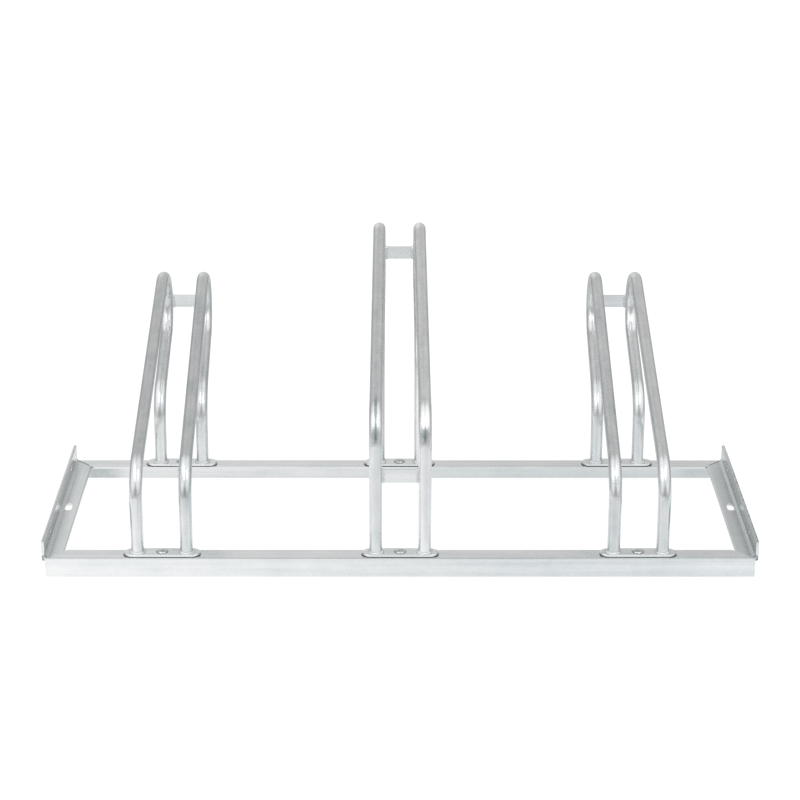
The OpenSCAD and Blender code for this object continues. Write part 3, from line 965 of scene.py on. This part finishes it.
def end_dull_and_shade(recipe, place):
    """Zinc gone dull on the faces and the edge of an end bar's standing leg, in slanting streaks,
    and painted shade on the lying leg, deepest towards the root under the standing leg. The holes'
    walls and the root's fillet stay bright. The left bar is lighter, the more so towards the back."""
    x, y, z = recipe.parts(place)
    high = box("right_end_bar")[1]
    root = box("rear_rail")[1][0]
    wall = high[0] - root
    slanting = recipe.add("ShaderNodeCombineXYZ", None,
                          {"X": (y - z * 1.4) * 130.0, "Y": (y * 1.4 + z) * 20.0, "Z": x * 20.0})
    streaks = recipe.noise(slanting, 1.0, 2)
    left = on_left(x)
    lighter_left = left * (y.step(-0.10, 0.12) * 0.48 + 0.52)
    past_root = abs(x) - root
    inner = past_root.step(-0.0006, 0.0) * past_root.step(0.0008, 0.0003)
    outer = past_root.step(wall - 0.0008, wall - 0.0003)
    edge = (z - high[2]).step(-0.0020, -0.0010)
    standing = inner.most(outer).most(edge) * (1.0 - lighter_left)
    # Painted shade on the lying leg, darker towards the root
    flat = (z - box("rear_rail")[1][2]).step(0.0018, 0.0006)
    at_back = y.step(0.0, 0.15)
    lying = flat * (past_root.step(-0.026, 0.0) * (0.40 - lighter_left * 0.20)
                    + 0.20 - left * 0.16 + at_back * (left * 0.40 - 0.16))
    standing = standing * (0.16 + streaks * 0.72) * (1.0 - at_back * 0.6)
    return standing.most(lying * (streaks * 0.5 + 0.75)).clamped()


def corner_dirt_and_shade(recipe, place):
    """Painted shade along the root of an end bar's two legs, dirt in a ring at the root's front end
    and in specks on the right bar's upper edge, and dirt and painted shade in the mitres at the
    back."""
    x, y, z = recipe.parts(place)
    low, high = box("right_end_bar")
    off_root = distance(abs(x) - box("rear_rail")[1][0], z - box("rear_rail")[1][2])
    # Painted shade in the crease along the root
    root = ragged(recipe, place, off_root, 0.0015) * 0.35
    ring_radius, ring_width = 0.0035, 0.0022
    off_ring = abs(distance(off_root, y - low[1]) - ring_radius)
    ring = ragged(recipe, place, off_ring, ring_width) * 0.6
    edge = distance(abs(x) - high[0], z - high[2]).step(0.0026, 0.0012)
    specks = (edge * recipe.noise(place, 170.0, 2).step(0.47, 0.58) * (1.0 - on_left(x))
              * y.step(0.12, -0.08) * 0.55)
    return root.most(ring).most(specks).most(mitre_dirt_and_shade(recipe, place))


def plate_dirt_and_shadow(recipe, place):
    """Painted contact shadow, with dirt, at the foot of a plate's side, where it meets the rail,
    and round the bolt's head.
    """
    x, y, z = recipe.parts(place)
    # Painted contact shadow where the plate stands on the rail
    foot = (z - box("front_rail")[1][2]).step(0.0011, 0.0002) * 0.9
    head = bpy.context.scene.rack_bolts.head_diameter / 2
    off_head = abs(distance(*from_nearest_bolt(x, y)) - head)
    return foot.most(ragged(recipe, place, off_head, 0.0016) * 0.55)


def tube_finish():
    """Galvanised tube. The coat is laid on the straightened tube, so that its stripes and blotches
    run along it. The bends are brighter and carry fine wrinkles across, a faint seam runs along
    the inside, the zinc has a warm cast in places, and dark reflections are painted into the front
    bends as zinc rubbed dull in flecks."""
    finish = bpy.context.scene.rack_steel
    recipe = Recipe(bpy.data.materials.new("Galvanised tube"))
    place = recipe.attribute("straightened")
    bend, facing, own_tone = recipe.parts(recipe.attribute("marks"))
    patch, line, _ = recipe.parts(recipe.attribute("scars"))
    tone, roughness, height = zinc_coat(recipe, place, ALONG_Z)
    blotches = recipe.streaks(place, (75.0, 75.0, 26.0))
    stripes = recipe.streaks(place, (150.0, 150.0, 6.0))
    wrinkles = recipe.streaks(place, (45.0, 45.0, 340.0)) * bend
    flecks = recipe.streaks(place, (260.0, 260.0, 420.0))
    seam = (facing + 0.93).step(0.0, -0.07) * recipe.noise(place, 260.0, 2)
    tone = (tone + own_tone + (blotches - 0.5) * 1.0 + (stripes - 0.5) * 0.85 - wrinkles * 0.28
            - seam * 0.25 + bend * 0.10).clamped()
    warm = recipe.noise(place, 21.0, 2).step(0.42, 0.66) * 0.40
    # Painted dark reflections in the front bends, laid on in the dull zinc's colour
    reflection_shade = (patch * (0.25 + flecks * 1.1) + line * (0.55 + blotches * 0.8)).clamped()
    zinc = recipe.blend(tone, solid(finish.dark_zinc), solid(finish.light_zinc))
    zinc = recipe.blend(warm, zinc, solid(finish.warm_zinc))
    zinc = recipe.blend(reflection_shade, zinc, solid(finish.dull_and_shaded_zinc))
    height = height + blotches * 0.30 + wrinkles * 0.62 - seam * 0.3
    roughness = (roughness - bend * 0.07 + seam * 0.1).clamped()
    return recipe.metal(zinc, roughness, recipe.bump(height, TUBE_BUMP, BUMP_DEPTH))


def bead_finish():
    """Weld bead under zinc paint: bright, speckled and rough, with dark pits."""
    finish = bpy.context.scene.rack_steel
    recipe = Recipe(bpy.data.materials.new("Weld bead"))
    place = recipe.place()
    speckle = recipe.noise(place, 900.0, 3, 0.7)
    patches = recipe.noise(place, 210.0, 3)
    pits = recipe.cells(place, 620.0, "Distance").step(0.30, 0.10) * patches.step(0.45, 0.65)
    tone = (0.35 + speckle * 0.6 + (patches - 0.5) * 0.9).clamped()
    zinc = recipe.blend(tone, solid(finish.dark_zinc), solid(finish.bead_zinc))
    zinc = recipe.blend(pits * 0.8, zinc, solid(finish.dark_grime_and_shade))
    roughness = (0.34 + (speckle - 0.5) * 0.3 + pits * 0.2).clamped()
    height = speckle * 0.5 + patches * 0.5 - pits * 0.6
    return recipe.metal(zinc, roughness, recipe.bump(height, 0.55, 0.0007))


def plated_finish():
    """Bright zinc plating: smoother than the galvanised coat, with a faint warm and blue cast and
    with dark pits."""
    finish = bpy.context.scene.rack_steel
    recipe = Recipe(bpy.data.materials.new("Zinc plating"))
    place = recipe.place()
    cast = recipe.noise(place, 190.0, 2)
    scuffs = recipe.streaks(place, (1600.0, 420.0, 900.0), 3, 0.7)
    warm = solid(np.multiply(finish.plating, (1.0, 0.99, 0.97)))
    cool = solid(np.multiply(finish.plating, (0.93, 0.97, 1.0)))
    tone = recipe.blend(cast.step(0.35, 0.65), cool, warm)
    zinc = recipe.blend(scuffs.step(0.52, 0.75) * 0.55, tone, solid(finish.dark_zinc))
    pits = recipe.noise(place, 420.0, 2, 0.7).step(0.53, 0.64)
    zinc = recipe.blend(pits * 0.60, zinc, solid(finish.dark_grime_and_shade))
    roughness = (0.20 + scuffs.step(0.4, 0.8) * 0.25).clamped()
    return recipe.metal(zinc, roughness, recipe.bump(scuffs + cast * 0.6, 0.30, 0.0004))


def finish_named(name, make):
    """A material that was made before, or a new one."""
    return bpy.data.materials.get(name) or make()


# Operators


class RackOperator:
    """What all the rack's operators share."""

    bl_options = {"REGISTER", "UNDO"}


class RACK_OT_make_hoops(RackOperator, bpy.types.Operator):
    """Make the six bent tube hoops"""

    bl_idname = "rack.make_hoops"
    bl_label = "Make the hoops"

    def execute(self, context):
        material = finish_named("Galvanised tube", tube_finish)
        for seed, ((holder, side), tone) in enumerate(HOOP_TONES.items()):
            grid, attributes = hoop_grid(hoop_shape(holder, side), seed, tone,
                                         HOOP_REFLECTION_PAINT[holder, side])
            piece = add_piece(f"{holder}_holder_{side}_tube", closed_shell(grid), GALVANISED,
                              material, **attributes)
            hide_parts(f"{holder}_holder_{side}_hoop")
        return {"FINISHED"}


class RACK_OT_make_feet(RackOperator, bpy.types.Operator):
    """Make the six foot plates, with rounded edges and a square hole"""

    bl_idname = "rack.make_feet"
    bl_label = "Make the foot plates"

    def execute(self, context):
        material = bar_finish("Galvanised foot plate", ALONG_X, plate_dirt_and_shadow)
        for seed, (holder, end) in enumerate(FEET):
            grid = foot_grid(*foot_place(holder, end), seed)
            piece = add_piece(f"{holder}_holder_{end}_plate", closed_shell(grid), GALVANISED,
                              material, PLATE_CREASE)
            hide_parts(f"{holder}_holder_{end}_foot")
        return {"FINISHED"}


def add_beads(name, grids):
    """Makes one piece of several weld beads."""
    material = finish_named("Weld bead", bead_finish)
    add_piece(name, joined([closed_shell(grid) for grid in grids]), GALVANISED, material,
              BEAD_CREASE)


class RACK_OT_make_leg_beads(RackOperator, bpy.types.Operator):
    """Make the weld beads between the legs and the foot plates"""

    bl_idname = "rack.make_leg_beads"
    bl_label = "Make the leg beads"

    def execute(self, context):
        sizes = context.scene.rack_hoops
        spacings = {"front": sizes.front_spacing, "rear": sizes.rear_spacing}
        for seed, (holder, end) in enumerate(FEET):
            top = foot_place(holder, end)[0] + (0, 0, plate_thickness())
            legs = [top + (sign * spacings[end] / 2, 0, 0) for sign in SIDES.values()]
            add_beads(f"{holder}_holder_{end}_leg_beads",
                      [leg_bead_grid(leg, sizes.tube_diameter / 2, 10 * seed + number)
                       for number, leg in enumerate(legs)])
        return {"FINISHED"}


class RACK_OT_make_strap_beads(RackOperator, bpy.types.Operator):
    """Make the weld beads at the ends of the straps"""

    bl_idname = "rack.make_strap_beads"
    bl_label = "Make the strap beads"

    def execute(self, context):
        nose_radius = context.scene.rack_hoops.nose_radius

        def on_nose(y, z):
            """Distance to the nose's middle line, an arc about a centre one radius in front."""
            return np.hypot(y + nose_radius, z) - nose_radius

        def on_leg(y, z):
            """Distance to an upright leg's middle line."""
            return y

        straps = {f"{holder}_holder_top_strap": on_nose for holder in HOLDERS}
        straps["centre_holder_lower_strap"] = on_leg
        for seed, (strap, gap) in enumerate(straps.items()):
            add_beads(f"{strap}_beads",
                      [strap_bead_grid(strap, sign, gap, 100 + 10 * seed + sign)
                       for sign in SIDES.values()])
        return {"FINISHED"}


class RACK_OT_make_bolts(RackOperator, bpy.types.Operator):
    """Make the six mushroom-head bolts"""

    bl_idname = "rack.make_bolts"
    bl_label = "Make the bolts"

    def execute(self, context):
        material = finish_named("Zinc plating", plated_finish)
        top = np.array([0, 0, plate_thickness()])
        shells = [turned_shell(bolt_grid(foot_place(*foot)[0] + top, seed))
                  for seed, foot in enumerate(FEET)]
        piece = add_piece("bolts", joined(shells), PLATED, material)
        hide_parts("mushroom_bolts")
        return {"FINISHED"}


class RACK_OT_coat_steel(RackOperator, bpy.types.Operator):
    """Give the bars, the straps, the washers and the nuts their zinc"""

    bl_idname = "rack.coat_steel"
    bl_label = "Coat the steel"

    def execute(self, context):
        plating = finish_named("Zinc plating", plated_finish)
        finishes = {
            "_rail": bar_finish("Galvanised rail", ALONG_X, rail_dirt_and_shadows, rail_wear_and_darkening),
            "_end_bar": bar_finish("Galvanised end bar", ALONG_Y, corner_dirt_and_shade, end_dull_and_shade),
            "_top_strap": bar_finish("Galvanised strap", ALONG_X),
            # Painted light: the lower strap's zinc is a lighter copy of the strap's
            "_lower_strap": bar_finish("Galvanised lower strap", ALONG_X, painted_lift=0.35),
            "flat_washers": plating,
            "hex_nuts": plating,
        }
        for node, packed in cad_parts.items():
            for ending, material in finishes.items():
                if node.endswith(ending):
                    packed.data.materials.clear()
                    packed.data.materials.append(material)
        return {"FINISHED"}


class RACK_OT_set_studio(RackOperator, bpy.types.Operator):
    """Set up the floor, the light and the camera"""

    bl_idname = "rack.set_studio"
    bl_label = "Set up the studio"

    def execute(self, context):
        studio = context.scene.rack_studio
        add_floor(studio)
        light_room(context.scene, studio)
        add_lamps(studio)
        add_camera(context.scene, studio)
        context.scene.view_settings.view_transform = "Standard"
        return {"FINISHED"}


# The studio

WHITE = (1.0, 1.0, 1.0, 1.0)
FLOOR_POINTS = 96
FLOOR_RINGS = 23
# How bright the floor glows to the camera, and how much of what the camera and gloss see of it
# is glow and not the light that falls on it
FLOOR_GLOW = 1.12
SEEN_GLOW = 0.80
GLOSS_GLOW = 0.86
# Each lamp's place, its width, its depth and the property that holds its power
LAMPS = {"left_lamp": ((-0.74, -0.88, 1.35), 1.05, 0.70, "lamp_power"),
         "right_lamp": ((0.72, -0.88, 1.35), 0.85, 0.62, "side_power")}
RACK_MIDDLE = (0, 0, 0.15)


def shown_rays(recipe):
    """1 for rays that show the floor or the room as they are: to the camera, in gloss, in glass."""
    node = recipe.add("ShaderNodeLightPath").socket.node
    return [Wire(recipe, node.outputs[name])
            for name in ("Is Camera Ray", "Is Glossy Ray", "Is Transmission Ray")]


def add_floor(studio):
    """A round floor: rings of points at even steps of the radius, at the height of the ground. The
    camera sees it nearly white. In gloss it is brightest at the front left, falls off to the back
    and to both sides, and has a cool cast on the right."""
    heading = once_round(FLOOR_POINTS)[None, :]
    radius = np.linspace(0, studio.floor_radius, FLOOR_RINGS + 1)[1:, None]
    rings = np.stack([radius * np.cos(heading), radius * np.sin(heading),
                      np.zeros((radius.size, heading.size))], axis=-1)
    points = np.concatenate([rings.reshape(-1, 3), [[0, 0, 0]]])
    quads = grid_faces(radius.size, heading.size, False, True)[:, ::-1]
    around = np.arange(heading.size)
    centre = np.full(heading.size, len(points) - 1)
    fan = np.stack([centre, around, (around + 1) % heading.size], axis=-1)
    mesh = bpy.data.meshes.new("studio_floor")
    mesh.from_pydata(points.tolist(), [], quads.tolist() + fan.tolist())
    floor = bpy.data.objects.new("studio_floor", mesh)
    bpy.context.scene.collection.objects.link(floor)
    recipe = Recipe(bpy.data.materials.new("Studio floor"))
    camera, glossy, glass = shown_rays(recipe)
    x, y, _ = recipe.parts(recipe.place())
    mirrored = ((1.18 - x.step(-0.60, 0.30) * 0.22 + x.step(0.35, 0.50) * 0.06)
                * (0.91 + y.step(-0.46, -0.36) * 0.11) * (1.0 - y.step(-0.08, 0.50) * 0.42)
                * (1.0 - abs(x).step(0.70, 1.4) * 0.35))
    plain = recipe.add("ShaderNodeBsdfDiffuse", None, {"Color": solid(studio.floor_colour)})
    tint = recipe.blend(x.step(-0.35, 0.25) * (1.0 - camera), WHITE, solid(studio.floor_tint))
    gloss = glossy + glass
    glow = recipe.add("ShaderNodeEmission", None,
                      {"Color": tint, "Strength": camera * FLOOR_GLOW + gloss * mirrored})
    seen = recipe.add("ShaderNodeMixShader", None,
                      {0: camera * SEEN_GLOW + gloss * GLOSS_GLOW, 1: plain, 2: glow})
    recipe.add("ShaderNodeOutputMaterial", None, {"Surface": seen})
    mesh.materials.append(recipe.owner)


def light_room(scene, studio):
    """Light from all round that changes with its heading alone: a bright ceiling that falls off to
    the back, dark places round the camera and low at both sides of the back, and a back wall that
    is brighter on the left. The camera sees it white."""
    scene.world = bpy.data.worlds.new("Studio")
    recipe = Recipe(scene.world)
    x, y, z = recipe.parts(recipe.add("ShaderNodeTexCoord", output="Generated"))
    camera, _, _ = shown_rays(recipe)
    ceiling = (y * -0.38 + z * 0.80 + abs(x) * 0.62).step(0.62, 0.96)
    back_left = x.step(0.22, -0.20) * x.step(-0.60, -0.28) * y.step(0.50, 0.85) * z.step(0.75, 0.50)
    back_right = x.step(0.75, 0.35) * x.step(-0.25, 0.10) * y.step(0.50, 0.85) * z.step(0.75, 0.50)
    back_sides = abs(z).step(0.32, 0.08) * abs(x).step(0.28, 0.48) * y.step(0.35, 0.65)
    by_camera = distance(x * math.sqrt(0.45), z - 0.28).step(0.48, 0.10) * y.step(-0.3, -0.7)
    strength = (studio.room_light + ceiling * 0.58 + back_left * 0.26 + back_right * 0.06
                - by_camera * 0.12 - back_sides * 0.18)
    light = recipe.add("ShaderNodeBackground", None,
                       {"Color": WHITE, "Strength": strength * (1.0 - camera) + camera})
    recipe.add("ShaderNodeOutputWorld", None, {"Surface": light})


def add_lamps(studio):
    """Two soft lamps over the front of the rack, with a dark gap between them: a large one on the
    left and a smaller one on the right. Both shine at the middle of the rack."""
    for name, (place, width, depth, power) in LAMPS.items():
        lamp = bpy.data.lights.new(name, "AREA")
        lamp.shape = "RECTANGLE"
        lamp.size, lamp.size_y = width, depth
        lamp.energy = getattr(studio, power)
        holder = bpy.data.objects.new(name, lamp)
        bpy.context.scene.collection.objects.link(holder)
        holder.matrix_world = looking(np.array(place), np.array(RACK_MIDDLE) - place)


def looking(place, aim):
    """The matrix of a lamp at a place that shines along a direction."""
    back = -np.asarray(aim) / np.linalg.norm(aim)
    right = np.cross((0, 0, 1), back)
    right /= np.linalg.norm(right)
    up = np.cross(back, right)
    return placed(place, right, up, back)


def placed(place, right, up, back):
    """The matrix of an object at a place, with its three axes."""
    matrix = np.eye(4)
    matrix[:3, 0], matrix[:3, 1], matrix[:3, 2], matrix[:3, 3] = right, up, back, place
    return Matrix(matrix.tolist())


def add_camera(scene, studio):
    """The camera, from its place, its turn about the upright, its tilt down and its roll."""
    data = bpy.data.cameras.new("camera")
    data.sensor_fit = "HORIZONTAL"
    data.sensor_width = studio.sensor_width
    data.lens = studio.camera_lens
    data.clip_end = 100
    turn, tilt, roll = studio.camera_yaw, studio.camera_pitch, studio.camera_roll
    level_right = np.array([math.cos(turn), math.sin(turn), 0])
    level_ahead = np.array([-math.sin(turn), math.cos(turn), 0])
    ahead = math.cos(tilt) * level_ahead - math.sin(tilt) * np.array([0, 0, 1])
    level_up = math.sin(tilt) * level_ahead + math.cos(tilt) * np.array([0, 0, 1])
    right = math.cos(roll) * level_right + math.sin(roll) * level_up
    up = -math.sin(roll) * level_right + math.cos(roll) * level_up
    camera = bpy.data.objects.new("camera", data)
    scene.collection.objects.link(camera)
    camera.matrix_world = placed(studio.camera_place, right, up, -ahead)
    scene.camera = camera


GROUPS = {"rack_hoops": HoopSizes, "rack_feet": FootSizes, "rack_welds": WeldSizes,
          "rack_bolts": BoltSizes, "rack_steel": SteelFinish, "rack_studio": Studio}
OPERATORS = (RACK_OT_make_hoops, RACK_OT_make_feet, RACK_OT_make_leg_beads,
             RACK_OT_make_strap_beads, RACK_OT_make_bolts, RACK_OT_coat_steel,
             RACK_OT_set_studio)


class RACK_PT_sidebar(bpy.types.Panel):
    """The rack's sizes, finishes and operators"""

    bl_idname = "RACK_PT_sidebar"
    bl_label = "Bike rack"
    bl_space_type = "VIEW_3D"
    bl_region_type = "UI"
    bl_category = "Bike rack"

    def draw(self, context):
        layout = self.layout
        for operator in OPERATORS:
            layout.operator(operator.bl_idname)
        for name, group in GROUPS.items():
            part = layout.box()
            part.label(text=group.__doc__)
            for value in group.__annotations__:
                part.prop(getattr(context.scene, name), value)


CLASSES = (*GROUPS.values(), *OPERATORS, RACK_PT_sidebar)


def register():
    for kind in CLASSES:
        bpy.utils.register_class(kind)
    for name, group in GROUPS.items():
        setattr(bpy.types.Scene, name, PointerProperty(type=group))


def unregister():
    for name in GROUPS:
        delattr(bpy.types.Scene, name)
    for kind in reversed(CLASSES):
        bpy.utils.unregister_class(kind)


def main():
    """Makes the whole scene."""
    register()
    for operator in OPERATORS:
        group, name = operator.bl_idname.split(".")
        getattr(getattr(bpy.ops, group), name)()


if __name__ == "__main__":
    main()
